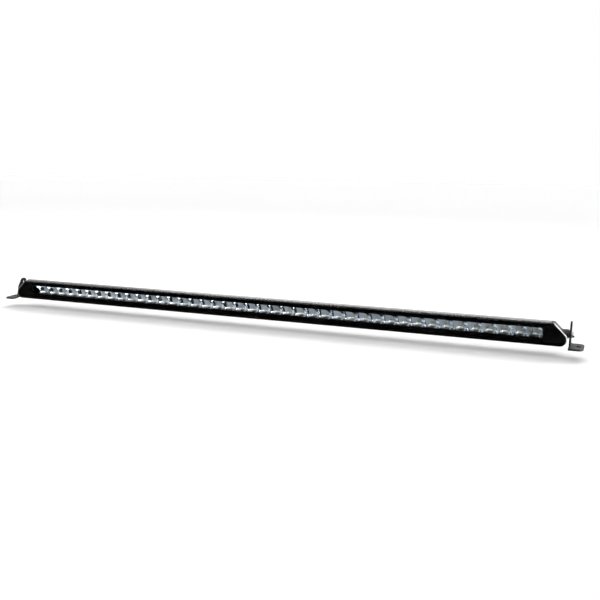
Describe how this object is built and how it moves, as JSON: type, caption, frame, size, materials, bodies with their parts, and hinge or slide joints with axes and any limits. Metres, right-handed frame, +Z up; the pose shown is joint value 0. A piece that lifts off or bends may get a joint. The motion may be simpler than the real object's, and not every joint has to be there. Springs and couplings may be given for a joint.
{
  "type": "led light bar",
  "caption": "Long slim bar lamp with a single row of deep mirror cells behind a black-bordered lens, finned back and a swivelling foot bracket at each end.",
  "frame": {"origin": "under the middle of the bar, on the surface the two feet stand on, centred front to back on the whole part", "axes": "+X along the bar to the right-hand end as seen from the front, +Y from the lens to the cooling fins, +Z up away from the mounting surface"},
  "size_m": [1.1864, 0.063, 0.0426],
  "materials": {
    "housing_coat": "satin black anodised",
    "cap_coat": "fine-textured black powder coat",
    "bracket_coat": "fine-textured black powder coat",
    "clear_lens": "clear hard-coated polycarbonate",
    "black_border": "gloss black",
    "seal_rubber": "matt",
    "metallised_reflector": "vacuum-metallised mirror",
    "board_mask": "white solder mask with a black band towards the lens, on an aluminium core",
    "led_package": "phosphor under a silicone dome",
    "component_black": "moulded chokes and driver chips",
    "connector_white": "moulded nylon",
    "thermal_pad": "filled silicone pad",
    "lead_insulation": "wire insulation",
    "black_nylon": "glass-filled nylon",
    "stainless_fasteners": "plain stainless steel"
  },
  "bodies": {
    "lamp": {"housing": "housing_coat", "left_end_cap": "cap_coat", "right_end_cap": "cap_coat", "left_end_gasket": "seal_rubber", "right_end_gasket": "seal_rubber", "left_cap_screws": "stainless_fasteners", "right_cap_screws": "stainless_fasteners", "lens_cover": "clear_lens", "lens_seal": "seal_rubber", "bezel": "black_border", "reflector_1": "metallised_reflector", "reflector_2": "metallised_reflector", "reflector_3": "metallised_reflector", "reflector_4": "metallised_reflector", "reflector_5": "metallised_reflector", "reflector_6": "metallised_reflector", "reflector_7": "metallised_reflector", "led_board_1": "board_mask", "led_board_2": "board_mask", "led_board_3": "board_mask", "led_board_4": "board_mask", "led_board_5": "board_mask", "led_board_6": "board_mask", "led_board_7": "board_mask", "led_chips": "led_package", "driver_components": "component_black", "board_links": "connector_white", "board_screws": "stainless_fasteners", "thermal_pads": "thermal_pad", "input_leads": "lead_insulation", "cable_gland": "black_nylon", "gland_insert": "seal_rubber", "gland_nut": "black_nylon", "breather_vent": "black_nylon", "left_pivot_bolt": "stainless_fasteners", "right_pivot_bolt": "stainless_fasteners", "left_pivot_washer": "stainless_fasteners", "right_pivot_washer": "stainless_fasteners", "left_friction_washer": "black_nylon", "right_friction_washer": "black_nylon"},
    "left_bracket_body": {"left_bracket": "bracket_coat"},
    "right_bracket_body": {"right_bracket": "bracket_coat"}
  },
  "joints": [
    {"name": "left_bracket_swivel", "type": "hinge", "parent": "lamp", "child": "left_bracket_body", "pos_m": [-0.5707, 0, 0.0205], "axis": [1, 0, 0], "continuous": true},
    {"name": "right_bracket_swivel", "type": "hinge", "parent": "lamp", "child": "right_bracket_body", "pos_m": [0.5707, 0, 0.0205], "axis": [1, 0, 0], "continuous": true}
  ]
}
